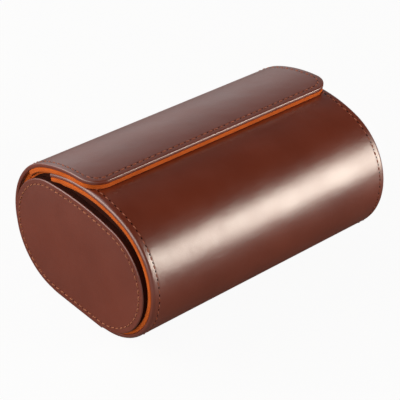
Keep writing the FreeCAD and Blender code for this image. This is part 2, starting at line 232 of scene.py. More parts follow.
def finish_mesh(name, bm, materials):
    """Closes a bmesh into an object with smooth faces and sharp folds."""
    if "flat" not in bm.verts.layers.float_vector:
        keep_flat_place(bm)
    bmesh.ops.recalc_face_normals(bm, faces=bm.faces[:])
    for face in bm.faces:
        face.smooth = True
    for edge in bm.edges:
        if len(edge.link_faces) == 2 and edge.calc_face_angle(0) > SMOOTH_BELOW:
            edge.smooth = False
    mesh = bpy.data.meshes.new(name)
    bm.to_mesh(mesh)
    bm.free()
    for material in materials:
        mesh.materials.append(material)
    print(f"{name}: {len(mesh.polygons)} faces")
    return add_object(name, mesh)


def verts_of(items):
    return [item for item in items if isinstance(item, bmesh.types.BMVert)]


def edges_of(items):
    return [item for item in items if isinstance(item, bmesh.types.BMEdge)]

# %% [markdown]
# A material is a small graph: a place on the piece goes into noise, the noise goes through a ramp of
# colours or into a bump, and both end in one shader. These helpers make the nodes and their links, so
# that each finish below reads as a recipe.

# %% Material helpers
def new_material(name, **values):
    """A material with its tree and shader. Values are plain inputs of the shader, by their label."""
    material = bpy.data.materials.new(name)
    material.use_nodes = True
    shader = material.node_tree.nodes["Principled BSDF"]
    for key, value in values.items():
        shader.inputs[key.replace("_", " ")].default_value = value
    return material, material.node_tree, shader


def feed(tree, shader, **sources):
    """Links sources to inputs of the shader, by their label."""
    for key, source in sources.items():
        tree.links.new(source, shader.inputs[key.replace("_", " ")])


def node(tree, kind, **values):
    """A node with its values: an input by its label, a setting by its name."""
    made = tree.nodes.new(kind)
    for key, value in values.items():
        if hasattr(made, key):
            setattr(made, key, value)
        else:
            made.inputs[key.replace("_", " ")].default_value = value
    return made


def flat_place(tree):
    return node(tree, "ShaderNodeAttribute", attribute_name="flat").outputs["Vector"]


def object_place(tree):
    return tree.nodes.new("ShaderNodeTexCoord").outputs["Object"]


def noise(tree, place, scale, detail=2.0, roughness=0.5):
    made = node(tree, "ShaderNodeTexNoise", Scale=scale, Detail=detail, Roughness=roughness)
    tree.links.new(place, made.inputs["Vector"])
    return made.outputs["Fac"]


def ramp(tree, source, stops):
    """A colour ramp over a value, from (place, colour) pairs."""
    made = tree.nodes.new("ShaderNodeValToRGB")
    elements = made.color_ramp.elements
    while len(elements) < len(stops):
        elements.new(0.5)
    for element, (place, colour) in zip(elements, stops):
        element.position = place
        element.color = (*colour, 1)
    tree.links.new(source, made.inputs["Fac"])
    return made.outputs["Color"]


def grey_ramp(tree, source, stops):
    return ramp(tree, source, [(place, (value,) * 3) for place, value in stops])


def bump(tree, height, distance, under=None):
    made = node(tree, "ShaderNodeBump", Strength=1.0, Distance=distance)
    tree.links.new(height, made.inputs["Height"])
    if under:
        tree.links.new(under, made.inputs["Normal"])
    return made.outputs["Normal"]

# %% [markdown]
# The hide is smooth and waxed: one even brown with a faint cloudiness from the dye, pores that only
# show in a highlight, and a clear gloss that breaks up softly. Slow noise sets the colour, fine noise
# in the bump makes the pores, and the roughness varies a little.

# %% Brown hide
def make_hide():
    material, tree, shader = new_material("brown hide", Specular_IOR_Level=1.0, IOR=1.7)
    place = flat_place(tree)
    dye = noise(tree, place, 28, 4, 0.55)
    colour = ramp(tree, dye, [(0.30, (0.180, 0.0270, 0.0085)), (0.72, (0.226, 0.0360, 0.0120))])
    wear = noise(tree, place, 55, 3)
    gloss = grey_ramp(tree, wear, [(0.3, 0.30), (0.75, 0.37)])
    pores = noise(tree, place, 1500, 3, 0.65)
    folds = noise(tree, place, 90, 3, 0.5)
    surface = bump(tree, pores, 0.000045, bump(tree, folds, 0.00022))
    feed(tree, shader, Base_Color=colour, Roughness=gloss, Normal=surface)
    return material


HIDE = make_hide()

# %% [markdown]
# The suede is split hide with its nap raised. It scatters light in every direction, looks paler at
# grazing angles, and brushing leaves soft lighter and darker patches.

# %% Orange suede
def make_suede():
    material, tree, shader = new_material("orange suede", Roughness=0.95, Specular_IOR_Level=0.15,
                                          Sheen_Weight=0.2, Sheen_Roughness=0.5,
                                          Sheen_Tint=(1.0, 0.62, 0.38, 1))
    place = flat_place(tree)
    brushed = noise(tree, place, 130, 4, 0.6)
    colour = ramp(tree, brushed, [(0.25, (0.60, 0.108, 0.012)), (0.75, (0.78, 0.155, 0.020))])
    nap = noise(tree, place, 3200, 2, 0.7)
    feed(tree, shader, Base_Color=colour, Normal=bump(tree, nap, 0.00012))
    return material


SUEDE = make_suede()

# %% [markdown]
# The thread is waxed and tan. On the walls a darker copy of it, only a little paler than the hide, is
# painted shade for the same thread in less light; on the caps and inside it is tan. Between two stitches
# the needle leaves a small hole, and a dish painted near-black is its painted shade, which shows where
# light is strong. Edges that are neither hide nor suede are dyed dark, partly real dye and partly painted
# shade, and are as dull as the holes.

# %% Thread, with painted shade in holes and on edges
def make_thread(name, dark, light):
    material, tree, shader = new_material(name, Roughness=0.6)
    twist = noise(tree, object_place(tree), 1800, 2, 0.5)
    colour = ramp(tree, twist, [(0.3, dark), (0.7, light)])
    feed(tree, shader, Base_Color=colour, Normal=bump(tree, twist, 0.00008))
    return material


def make_dull(name, dark, light):
    material, tree, shader = new_material(name, Roughness=0.9, Specular_IOR_Level=0.1)
    mottle = noise(tree, object_place(tree), 900)
    feed(tree, shader, Base_Color=ramp(tree, mottle, [(0.3, dark), (0.7, light)]))
    return material


# painted shade: a darker copy of the tan thread, for the walls
SHADED_THREAD = make_thread("thread in painted shade", (0.32, 0.085, 0.042), (0.46, 0.140, 0.072))
TAN_THREAD = make_thread("tan thread", (0.38, 0.125, 0.055), (0.52, 0.20, 0.10))
# painted shade: a near-black dish stands in for the dark inside a needle hole
HOLE_SHADE = make_dull("needle hole shade", (0.006, 0.0015, 0.001), (0.014, 0.004, 0.0025))
# near-black edges: partly edge dye, partly painted shade of the trench round the caps
EDGE_DYE_AND_SHADE = make_dull("dyed edge and painted shade", (0.030, 0.0070, 0.0040), (0.048, 0.0110, 0.0060))

# %% [markdown]
# A panel starts as one flat rectangle. Extruding gives it a thickness, bevels roll its rim over, and a
# row of insets presses a shallow channel for the stitches. Cutting it across every millimetre gives the
# wrap enough points to bend smoothly. Each panel is begun too long and then trimmed square.

# %% Cut a flat panel
Groove = namedtuple("Groove", "inset width depth")
HOLD = 0.25 * MM   # narrow faces beside a groove keep its slope out of the shading of the wide ones
STEP = 1.0 * MM    # between two cuts across a panel
SPARE = 8.0 * MM   # what is trimmed off the start of a panel


def rectangle(width, length):
    bm = bmesh.new()
    bmesh.ops.create_grid(bm, x_segments=1, y_segments=1, size=0.5)
    bmesh.ops.scale(bm, vec=(width, length, 1), verts=bm.verts)
    return bm


def round_tips(bm, tips, radius, segments):
    bmesh.ops.bevel(bm, geom=tips, affect="VERTICES", offset=radius, segments=segments, profile=0.5,
                    material=-1)


def thicken(bm, thickness):
    """Gives flat work a thickness, downwards."""
    lower = bmesh.ops.extrude_face_region(bm, geom=bm.faces[:])
    bmesh.ops.translate(bm, vec=(0, 0, -thickness), verts=verts_of(lower["geom"]))


def slab(half_x, start, end, top, thickness, corner):
    """A flat plate whose far corners may be rounded. Its face is at a height."""
    bm = rectangle(2 * half_x, end - start)
    bmesh.ops.translate(bm, vec=(0, (start + end) / 2, top), verts=bm.verts)
    if corner:
        round_tips(bm, [vert for vert in bm.verts if vert.co.y > end - NEAR], corner, 16)
    thicken(bm, thickness)
    return bm


def roll_rim(bm, height, radius, segments):
    """Rounds the edges that lie all round a plate at one height."""
    rim = [edge for edge in bm.edges if all(abs(vert.co.z - height) < NEAR for vert in edge.verts)]
    bmesh.ops.bevel(bm, geom=rim, affect="EDGES", offset=radius, segments=segments, profile=0.5,
                    material=-1)


def face_at(bm, height):
    flat = [face for face in bm.faces if all(abs(vert.co.z - height) < NEAR for vert in face.verts)]
    return max(flat, key=lambda face: face.calc_area())


def swell(bm, face, rises):
    """Insets a face again and again, each time by a width and with a rise."""
    for width, rise in rises:
        bmesh.ops.inset_region(bm, faces=[face], thickness=width, depth=rise, use_even_offset=True)


def press_groove(bm, face, groove):
    """Presses a channel round a face and returns the line along its bottom."""
    bmesh.ops.recalc_face_normals(bm, faces=bm.faces[:])
    swell(bm, face, ((HOLD, 0), (groove.inset - 2 * HOLD, 0), (HOLD, 0),
                     (groove.width / 2, -groove.depth)))
    line = [loop.vert.co.copy() for loop in face.loops]
    swell(bm, face, ((groove.width / 2, groove.depth), (HOLD, 0)))
    return line


def cut(bm, along, way, clear=False):
    bmesh.ops.bisect_plane(bm, geom=bm.verts[:] + bm.edges[:] + bm.faces[:], dist=NEAR / 10,
                           plane_co=(0, along, 0), plane_no=(0, way, 0), clear_outer=clear)


def slice_across(bm):
    low = min(vert.co.y for vert in bm.verts)
    high = max(vert.co.y for vert in bm.verts)
    for index in range(1, int((high - low) / STEP) + 1):
        cut(bm, low + index * STEP, 1)


def trim(bm):
    """Cuts off all that lies before a panel's start, and closes the cut."""
    cut(bm, 0, -1, clear=True)
    open_edges = [edge for edge in bm.edges if len(edge.link_faces) == 1]
    bmesh.ops.contextual_create(bm, geom=open_edges)

# %% [markdown]
# Stitches are one small arched thread, copied along the groove's line. Its ends dive into the hide, and
# it lies a few degrees off the line, as saddle stitches do. Between two threads sits the needle's hole, a
# shallow dish painted near-black: painted shade for the dark inside it.

# %% Saddle stitches
THREAD_R = 0.27 * MM
THREAD_SLIM = 0.72  # how much of its section a thread has lost at its ends
THREAD_DIVE = 2.3   # how many radii its ends dive
Stitch = namedtuple("Stitch", "pitch share lift slant hole sunk")


def make_template(name, build):
    bm = bmesh.new()
    build(bm)
    mesh = bpy.data.meshes.new(name)
    bm.to_mesh(mesh)
    bm.free()
    return mesh


def build_thread(bm):
    """One thread along X, one unit long, arched up in the middle and thin at the ends."""
    bmesh.ops.create_cone(bm, cap_ends=True, segments=6, radius1=1, radius2=1, depth=1)
    bmesh.ops.rotate(bm, matrix=Matrix.Rotation(math.pi / 2, 3, "Y"), verts=bm.verts)
    long_edges = [edge for edge in bm.edges if abs(edge.verts[0].co.x - edge.verts[1].co.x) > 0.5]
    bmesh.ops.subdivide_edges(bm, edges=long_edges, cuts=4, use_grid_fill=True)
    for vert in bm.verts:
        t = abs(2 * vert.co.x)
        slim = math.sqrt(1 - THREAD_SLIM * t**3)
        vert.co.y *= slim
        vert.co.z = vert.co.z * slim + 1.0 - THREAD_DIVE * t**3


def build_hole(bm):
    """A shallow dish, one unit in radius, that carries a needle hole's painted shade."""
    bmesh.ops.create_cone(bm, cap_ends=True, segments=8, radius1=1, radius2=0.55, depth=0.12)


THREAD_SHAPE = make_template("thread shape", build_thread)
HOLE_SHAPE = make_template("hole shape", build_hole)


def walk(line):
    """Points and headings along a closed line, as a function of the distance, and its length."""
    points = line + line[:1]
    lengths = [(b - a).length for a, b in zip(points, points[1:])]

    def at(distance):
        for a, b, length in zip(points, points[1:], lengths):
            if distance <= length or b is points[-1]:
                return a.lerp(b, distance / max(length, NEAR)), (b - a).normalized()
            distance -= length
    return at, sum(lengths)


def add_copy(bm, shape, matrix, material_index):
    first_vert, first_face = len(bm.verts), len(bm.faces)
    bm.from_mesh(shape)
    bm.verts.ensure_lookup_table()
    bm.faces.ensure_lookup_table()
    bmesh.ops.transform(bm, matrix=matrix, verts=bm.verts[first_vert:])
    for face in bm.faces[first_face:]:
        face.material_index = material_index


def sew(bm, line, stitch, wanted=lambda place: True):
    """Adds stitches along a flat line, with a hole before each, where a place is wanted."""
    at, total = walk(line)
    count = max(1, round(total / stitch.pitch))
    pitch = total / count
    sewn = 0
    for index in range(count):
        middle, heading = at((index + 0.5) * pitch)
        hole, _ = at(index * pitch)
        if not wanted(middle):
            continue
        turned = Matrix.Rotation(math.radians(stitch.slant), 3, "Z") @ heading
        across = Vector((-turned.y, turned.x, 0))
        size = pitch * stitch.share
        axes = Matrix((turned * size, across * THREAD_R, Vector((0, 0, THREAD_R)))).transposed()
        place = middle + Vector((0, 0, stitch.lift * THREAD_R))
        add_copy(bm, THREAD_SHAPE, Matrix.Translation(place) @ axes.to_4x4(), 0)
        hole.z += stitch.sunk
        add_copy(bm, HOLE_SHAPE, Matrix.Translation(hole) @ Matrix.Scale(stitch.hole, 4), 1)
        sewn += 1
    return sewn

# %% [markdown]
# The hide comes in two panels. One goes under the roll, up the back and over the top as the flap. The
# other starts under the roll and goes up the front.

# %% Wrap hide: bottom, back wall and flap
RIM = 0.6 * MM
FRONT_RIM = 1.5 * MM
UNDER_RIM = 0.5 * MM
FLAP_CORNER = 10.0 * MM
WRAP_GROOVE = Groove(1.75 * MM, 1.0 * MM, 0.16 * MM)
FRONT_GROOVE = Groove(1.4 * MM, 1.1 * MM, 0.14 * MM)


def wrapped_panel(name, path, half_x, end, top, thickness, corner, rims, groove, material,
                  spread=None):
    """A panel that begins square at the path's start, trimmed there, and ends rounded."""
    bm = slab(half_x, -SPARE, end, top, thickness, corner)
    roll_rim(bm, top, rims[0], 5)
    roll_rim(bm, top - thickness, rims[1], 2)
    line = press_groove(bm, face_at(bm, top), groove) if groove else []
    trim(bm)
    slice_across(bm)
    keep_flat_place(bm)
    wrap(bm, path, spread)
    return finish_mesh(name, bm, [material]), line


hide_wrap, wrap_line = wrapped_panel("hide_wrap", WRAP, HALF_LENGTH, WRAP_LENGTH, 0, SKIN, FLAP_CORNER,
                                     (RIM, UNDER_RIM), WRAP_GROOVE, HIDE, widening)
hide_front, front_line = wrapped_panel("hide_front", FRONT, HALF_LENGTH - END_GAP, FRONT_LENGTH, 0,
                                       FRONT_SKIN, 0, (FRONT_RIM, UNDER_RIM), FRONT_GROOVE, HIDE)

# %% [markdown]
# The panels' stitches run round three sides only: the side under the roll has none. The thread lies low
# in its groove, and on the front wall it lies lower still and the holes are larger.

# %% Stitches of the wrap and the front wall
WRAP_STITCH = Stitch(3.5 * MM, 0.76, -0.2, 6, 0.40 * MM, 0.07 * MM)
FRONT_STITCH = Stitch(3.9 * MM, 0.66, -0.4, 6, 0.56 * MM, 0.06 * MM)
ROW_STARTS = 1.5 * MM


def sewn_rows(name, line, path, stitch, spread=None):
    bm = bmesh.new()
    count = sew(bm, line, stitch, lambda place: place.y > ROW_STARTS)
    wrap(bm, path, spread)
    obj = finish_mesh(name, bm, [SHADED_THREAD, HOLE_SHADE])
    print(f"{name}: {count} stitches")
    return obj


stitches_wrap = sewn_rows("stitches_wrap", wrap_line, WRAP, WRAP_STITCH, widening)
stitches_front = sewn_rows("stitches_front", front_line, FRONT, FRONT_STITCH)

# %% [markdown]
# The suede lining lies against the board on the inside. Its cut edge shows as an orange line all along
# the flap and at the ends, so it gets a softly rounded rim and stops a hair inside the hide.

# %% Suede linings
LINING_SET = 0.12 * MM
LINING_RIMS = (0.35 * MM, 0.4 * MM)
suede_wrap, _ = wrapped_panel("suede_wrap", WRAP, HALF_LENGTH - LINING_SET, WRAP_LENGTH - LINING_SET,
                              -SKIN, WALL - SKIN, FLAP_CORNER, LINING_RIMS, None, SUEDE, tucked)
suede_front, _ = wrapped_panel("suede_front", FRONT, HALF_LENGTH - END_GAP - LINING_SET,
                               FRONT_LENGTH - LINING_SET, -FRONT_SKIN, WALL - FRONT_SKIN, 0,
                               LINING_RIMS, None, SUEDE)

# %% [markdown]
# The end caps are ovals: board with hide turned over it, on a plug that fills the roll's end. Spinning
# a single point round each arc in turn traces the oval, one fill closes it, and then it is worked flat
# like the panels.

# %% Trace an oval
ARC_STEP = math.radians(3)
MERGE = 0.01 * MM


def trace(bm, arcs):
    """Traces tangent arcs into a closed outline, anticlockwise, and fills it. Flat X is Y and Y is Z."""
    def rim_point(arc, angle):
        turn = math.radians(angle)
        return Vector((arc.y + arc.radius * math.cos(turn), arc.z + arc.radius * math.sin(turn), 0))

    for arc in arcs:
        start = bmesh.ops.create_vert(bm, co=rim_point(arc, arc.start))["vert"]
        sweep = math.radians(arc.end - arc.start)
        bmesh.ops.spin(bm, geom=start, cent=(arc.y, arc.z, 0), axis=(0, 0, 1), angle=sweep,
                       steps=max(2, round(sweep / ARC_STEP)), use_merge=False)
    bmesh.ops.remove_doubles(bm, verts=bm.verts[:], dist=MERGE)
    for arc, after in zip(arcs, arcs[1:] + arcs[:1]):
        ends = rim_point(arc, arc.end), rim_point(after, after.start)
        if (ends[1] - ends[0]).length > 2 * MERGE:
            pair = [min(bm.verts, key=lambda vert: (vert.co - end).length) for end in ends]
            bmesh.ops.contextual_create(bm, geom=pair)
    bmesh.ops.contextual_create(bm, geom=bm.edges[:])


CAP_HALF = 46.0 * MM      # half of a cap's width
CAP_MIDDLE = 1.0 * MM     # a cap sits a little towards the back
CAP_BOTTOM = 2.5 * MM     # a cap's lowest edge, over the table
CAP_DROP = 12.4 * MM      # from the roll's top down to a cap's
CAP_CORNER = CAP_HALF - FLAT
CAP_LEVEL = CAP_BOTTOM + CAP_CORNER
CAP_CROWN_R = CAP_HALF * 3.26
CAP_CROWN = (4.0 * MM, TOP - CAP_DROP - CAP_CROWN_R, CAP_CROWN_R)
cap_back_y, cap_back_r, cap_back_join = shoulder(1, CAP_HALF, CAP_MIDDLE, CAP_LEVEL, CAP_CROWN)
cap_front_y, cap_front_r, cap_front_join = shoulder(-1, CAP_HALF, CAP_MIDDLE, CAP_LEVEL, CAP_CROWN)
CAP_ARCS = [Arc(CAP_MIDDLE + FLAT, CAP_LEVEL, CAP_CORNER, -90, 0),
            Arc(cap_back_y, CAP_LEVEL, cap_back_r, 0, cap_back_join),
            Arc(*CAP_CROWN, cap_back_join, cap_front_join),
            Arc(cap_front_y, CAP_LEVEL, cap_front_r, cap_front_join, 180),
            Arc(CAP_MIDDLE - FLAT, CAP_LEVEL, CAP_CORNER, 180, 270)]
print("cap arcs:", [round(arc.radius / MM, 1) for arc in CAP_ARCS])

# %% [markdown]
# The plug fills the roll's end. Behind the front wall's edge it rises to the flap, and in front of that
# edge it stops lower, under the wall. So its top is two arcs with one step between them.

# %% Outline of the plug
PLUG_STEP = FRONT_LIP - math.degrees(END_GAP / LAP_R)
PLUG_ARCS = [Arc(FLAT, LEVEL, LEVEL - ROOM, -90, 0),
             Arc(BACK_Y, LEVEL, BACK_R - ROOM, 0, BACK_JOIN),
             Arc(CROWN_Y, CROWN_Z, CROWN_R - ROOM, BACK_JOIN, PLUG_STEP),
             Arc(CROWN_Y, CROWN_Z, LAP_R - ROOM, PLUG_STEP, FRONT_JOIN),
             Arc(FRONT_Y, LEVEL, FRONT_R - ROOM, FRONT_JOIN, 180),
             Arc(-FLAT, LEVEL, LEVEL - ROOM, 180, 270)]
print(f"the plug steps down at {PLUG_STEP:.1f} degrees")

# %% [markdown]
# A cap's face is slightly cushioned by the board's padding. A few more insets inside the groove lift
# the face by a few tenths of a millimetre, so a reflection slides over it as it does on the real one.
# Round the cap runs a narrow dark trench. The cap's wall and the plug's face take one near-black
# material: on the wall it is partly real edge dye and partly painted shade, and on the plug's face, which
# is suede, it is painted shade of the deep gap. Suede is turned over the plug's edge. So a material is set
# by face, and both go down to the trench's floor.

# %% End caps
CAP_PROUD = 1.6 * MM
CAP_RIM = 0.55 * MM
PLUG_DEEP = 2.6 * MM
PLUG_SET = 1.8 * MM   # the plug's face lies that deep in a narrow trench round the cap
PLUG_RIM = 0.25 * MM
PLUG_EDGE = 0.7 * MM  # the suede that is turned over the plug's edge
CUSHION = ((3.0 * MM, 0.12 * MM), (4.0 * MM, 0.09 * MM), (5.0 * MM, 0.05 * MM))
CAP_GROOVE = Groove(1.7 * MM, 1.0 * MM, 0.12 * MM)
CAP_STITCH = Stitch(3.4 * MM, 0.80, -0.2, 6, 0.30 * MM, 0.05 * MM)


def plate(arcs, top, thickness):
    bm = bmesh.new()
    trace(bm, arcs)
    bmesh.ops.translate(bm, vec=(0, 0, top), verts=bm.verts)
    thicken(bm, thickness)
    return bm


def stand_up(bm, x, side=1):
    """Turns flat work up to stand across the roll at X, facing the end that side names."""
    for vert in bm.verts:
        y, z, out = vert.co
        vert.co = (x + side * out, y, z)


def make_cap(side_name, side):
    bm = plate(CAP_ARCS, CAP_PROUD, CAP_PROUD + PLUG_SET)
    roll_rim(bm, CAP_PROUD, CAP_RIM, 5)
    face = face_at(bm, CAP_PROUD)
    line = press_groove(bm, face, CAP_GROOVE)
    swell(bm, face, CUSHION)
    # the cap's wall: dyed dark, partly painted shade
    for wall in bm.faces:
        if wall.calc_center_median().z < CAP_PROUD - CAP_RIM:
            wall.material_index = 1
    keep_flat_place(bm)
    stand_up(bm, side * HALF_LENGTH, side)
    cap = finish_mesh(f"hide_cap_{side_name}", bm, [HIDE, EDGE_DYE_AND_SHADE])
    rows = bmesh.new()
    count = sew(rows, line, CAP_STITCH._replace(slant=CAP_STITCH.slant * side))
    stand_up(rows, side * HALF_LENGTH, side)
    stitches = finish_mesh(f"stitches_cap_{side_name}", rows, [TAN_THREAD, HOLE_SHADE])
    plug_bm = plate(PLUG_ARCS, -PLUG_SET, PLUG_DEEP - PLUG_SET)
    roll_rim(plug_bm, -PLUG_SET, PLUG_RIM, 3)
    face = face_at(plug_bm, -PLUG_SET)
    swell(plug_bm, face, ((PLUG_EDGE, 0),))
    # the plug's suede face is painted dark: painted shade of the trench
    face.material_index = 1
    keep_flat_place(plug_bm)
    stand_up(plug_bm, side * HALF_LENGTH, side)
    plug = finish_mesh(f"suede_cap_{side_name}", plug_bm, [SUEDE, EDGE_DYE_AND_SHADE])
    print(f"{side_name} cap: {count} stitches")
    return cap, stitches, plug


caps = {"left": make_cap("left", -1), "right": make_cap("right", 1)}

# %% [markdown]
# A divider stands between the two bays: a board between two suede faces, sewn together round the edge.
# Its outline is the room's up to the widest height, and then two rounded corners and a level top. The
# suede stands a hair proud of its board.

# %% Centre divider
DIVIDER_TOP = 46.0 * MM
DIVIDER = 4.4 * MM
COVER = 0.1 * MM
DIVIDER_RIM = 1.2 * MM
DIVIDER_PUFF = ((2.0 * MM, 0.12 * MM), (3.0 * MM, 0.10 * MM))
DIVIDER_GROOVE = Groove(2.0 * MM, 1.0 * MM, 0.2 * MM)
DIVIDER_STITCH = Stitch(3.4 * MM, 0.78, -0.3, 6, 0.32 * MM, 0.05 * MM)


def make_divider():
    corner = DIVIDER_TOP - LEVEL
    side = HALF_WIDTH - ROOM - corner
    arcs = [Arc(FLAT, LEVEL, LEVEL - ROOM + COVER, -90, 0),
            Arc(side, LEVEL, corner + COVER, 0, 90),
            Arc(-side, LEVEL, corner + COVER, 90, 180),
            Arc(-FLAT, LEVEL, LEVEL - ROOM + COVER, 180, 270)]
    bm = plate(arcs, DIVIDER / 2, DIVIDER)
    for height in (DIVIDER / 2, -DIVIDER / 2):
        roll_rim(bm, height, DIVIDER_RIM, 4)
        face = face_at(bm, height)
        line = press_groove(bm, face, DIVIDER_GROOVE)
        swell(bm, face, DIVIDER_PUFF)
    keep_flat_place(bm)
    stand_up(bm, 0)
    divider = finish_mesh("suede_divider", bm, [SUEDE])
    rows = bmesh.new()
    for vert in line:
        vert.z = -vert.z
    count = sew(rows, line, DIVIDER_STITCH)
    other = bmesh.ops.duplicate(rows, geom=rows.verts[:] + rows.edges[:] + rows.faces[:])
    bmesh.ops.scale(rows, vec=(1, 1, -1), verts=verts_of(other["geom"]))
    stand_up(rows, 0)
    print(f"divider: {count} stitches a side")
    return divider, finish_mesh("stitches_divider", rows, [TAN_THREAD, HOLE_SHADE])


divider, stitches_divider = make_divider()

# %% [markdown]
# Under each pillow lies a thin suede pad, the width of the flat bottom. It is a rectangle with rounded
# corners, worked as the panels are, and it swells only a little because the pillow rests on it.

# %% Floor pads
PAD_CORNER = 6.5 * MM  # more than all the insets together, or they would cross
PAD_RIM = 0.9 * MM
PAD_PUFF = ((1.2 * MM, 0.07 * MM), (1.6 * MM, 0.04 * MM))
PAD_GROOVE = Groove(1.1 * MM, 0.8 * MM, 0.25 * MM)
PAD_STITCH = DIVIDER_STITCH._replace(lift=-0.4)


def make_floor_pad(side_name):
    low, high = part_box(f"{side_name}_floor_pad")
    bm = rectangle(high[0] - low[0], high[1] - low[1])
    round_tips(bm, bm.verts[:], PAD_CORNER, 8)
    thicken(bm, high[2] - low[2])
    roll_rim(bm, 0, PAD_RIM, 4)
    face = face_at(bm, 0)
    line = press_groove(bm, face, PAD_GROOVE)
    swell(bm, face, PAD_PUFF)
    rows = bmesh.new()
    sew(rows, line, PAD_STITCH)
    middle = ((low[0] + high[0]) / 2, (low[1] + high[1]) / 2, high[2])
    for work in (bm, rows):
        bmesh.ops.translate(work, vec=middle, verts=work.verts)
    pad = finish_mesh(f"suede_floor_pad_{side_name}", bm, [SUEDE])
    return pad, finish_mesh(f"stitches_floor_pad_{side_name}", rows, [TAN_THREAD, HOLE_SHADE])


floor_pads = {name: make_floor_pad(name) for name in ("left", "right")}

# %% [markdown]
# A narrow suede strip is glued over the inside of each bend, so that no slit shows when the case is
# open. It is laid on the outline like the panels, only deeper.

# %% Strips over the bends
STRIP = 0.8 * MM
STRIP_RIM = 0.35 * MM
STRIP_WIDTH = 14.0 * MM
BAY_LENGTH = HALF_LENGTH - PLUG_DEEP - DIVIDER / 2
BAY_MIDDLE = (DIVIDER + BAY_LENGTH) / 2
FIT = 0.3 * MM


def strip_over(name, path, along, radius, middle, half_x):
    """A strip inside a bend. Its width is measured on its own face, which is shorter than the hide's."""
    reach = STRIP_WIDTH / 2 * radius / (radius - ROOM)
    bm = slab(half_x, along - reach, along + reach, -ROOM, STRIP, 0)
    roll_rim(bm, -ROOM - STRIP, STRIP_RIM, 3)
    slice_across(bm)
    bmesh.ops.translate(bm, vec=(middle, 0, 0), verts=bm.verts)
    keep_flat_place(bm)
    wrap(bm, path)
    return finish_mesh(name, bm, [SUEDE])


front_along = LEVEL * math.radians(-90 - FRONT_BEND_ANGLE)
front_strips = {name: strip_over(f"suede_front_strip_{name}", FRONT, front_along, LEVEL,
                                 side * BAY_MIDDLE, BAY_LENGTH / 2 - FIT)
                for name, side in (("left", -1), ("right", 1))}
flap_strip = strip_over("suede_flap_strip", WRAP, FLAP_STARTS, BACK_R, 0, HALF_LENGTH - PLUG_DEEP - FIT)

# %% [markdown]
# A watch pillow is foam in a suede cover, with a panel sewn in at each end and piping over the seams.
# Modelled as a bar with rounded edges it would look hard. So it is sewn slightly small, remeshed
# evenly, and blown up as cloth with its seams held still. Cloth is tuned for things about a metre
# across, so the pillow is simulated at ten times its size and then scaled back.

# %% Pillow blank
PILLOW_ROUND = 13.0 * MM
SLACK = 1.3 * MM
GROW = 10
VOXEL = 2.8 * MM
pillow_low, pillow_high = (Vector(corner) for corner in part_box("left_pillow_cover"))
pillow_ends = (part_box("left_pillow_end_left")[0][0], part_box("left_pillow_end_right")[1][0])
pillow_half = (pillow_ends[1] - pillow_ends[0]) / 2 - SLACK
pillow_middle = (pillow_ends[0] + pillow_ends[1]) / 2


def pillow_arcs():
    """The four rounded edges of a pillow, set in by the slack that the cloth takes up."""
    far = pillow_high.y - PILLOW_ROUND
    low, high = pillow_low.z + PILLOW_ROUND, pillow_high.z - PILLOW_ROUND
    radius = PILLOW_ROUND - SLACK
    return [Arc(far, low, radius, -90, 0), Arc(far, high, radius, 0, 90),
            Arc(-far, high, radius, 90, 180), Arc(-far, low, radius, 180, 270)]


def baked(obj):
    """Replaces an object's mesh by what its modifiers make of it."""
    shown = obj.evaluated_get(bpy.context.evaluated_depsgraph_get())
    mesh = bpy.data.meshes.new_from_object(shown)
    obj.modifiers.clear()
    obj.data = mesh
    return [vert.co.copy() for vert in mesh.vertices]


def make_blank():
    bm = plate(pillow_arcs(), pillow_half, 2 * pillow_half)
    stand_up(bm, 0)
    bmesh.ops.scale(bm, vec=(GROW, GROW, GROW), verts=bm.verts)
    blank = finish_mesh("suede_pillow_left", bm, [])
    even = blank.modifiers.new("even", "REMESH")
    even.mode = "VOXEL"
    even.voxel_size = VOXEL * GROW
    print("pillow blank:", len(baked(blank)), "points")
    return blank


pillow = make_blank()

# %% Blow the pillow up
SEAM_REACH = 2.6 * MM
FRAMES = 20
SWELL = 1.25 * MM


def near_outline(place):
    """Whether a point of the blank lies close to the rim of its section."""
    y = abs(place.y) / GROW
    z = abs(place.z / GROW - (pillow_low.z + pillow_high.z) / 2)
    half_y, half_z = pillow_high.y - SLACK, (pillow_high.z - pillow_low.z) / 2 - SLACK
    over_y, over_z = y - (pillow_high.y - PILLOW_ROUND), z - (half_z + SLACK - PILLOW_ROUND)
    if over_y > 0 and over_z > 0:
        return PILLOW_ROUND - SLACK - math.hypot(over_y, over_z) < SEAM_REACH
    return min(half_y - y, half_z - z) < SEAM_REACH


def blow_up(blank):
    seams = blank.vertex_groups.new(name="seams")
    held = [vert.index for vert in blank.data.vertices
            if abs(vert.co.x) / GROW > pillow_half - SEAM_REACH and near_outline(vert.co)]
    seams.add(held, 1.0, "REPLACE")
    before = [vert.co.copy() for vert in blank.data.vertices]
    cloth = blank.modifiers.new("cloth", "CLOTH")
    cloth.settings.vertex_group_mass = "seams"
    cloth.settings.use_pressure = True
    cloth.settings.uniform_pressure_force = 4
    cloth.settings.effector_weights.gravity = 0
    cloth.point_cache.frame_end = FRAMES
    for frame_number in range(1, FRAMES + 1):
        bpy.context.scene.frame_set(frame_number)
    baked(blank)
    bpy.context.scene.frame_set(1)
    farthest = 0
    for vert, start in zip(blank.data.vertices, before):
        move = vert.co - start
        farthest = max(farthest, move.length / GROW)
        if move.length > SWELL * GROW:
            vert.co = start + move.normalized() * SWELL * GROW
        vert.co /= GROW
    print(f"pillow: {len(held)} points on the seams, farthest move {farthest / MM:.2f} mm")


blow_up(pillow)

# %% [markdown]
# The foam has cells of about a millimetre. A Voronoi texture gives each cell a rim and a hollow, which
# serves the bump, and in the colour darkens each hollow as painted shade.

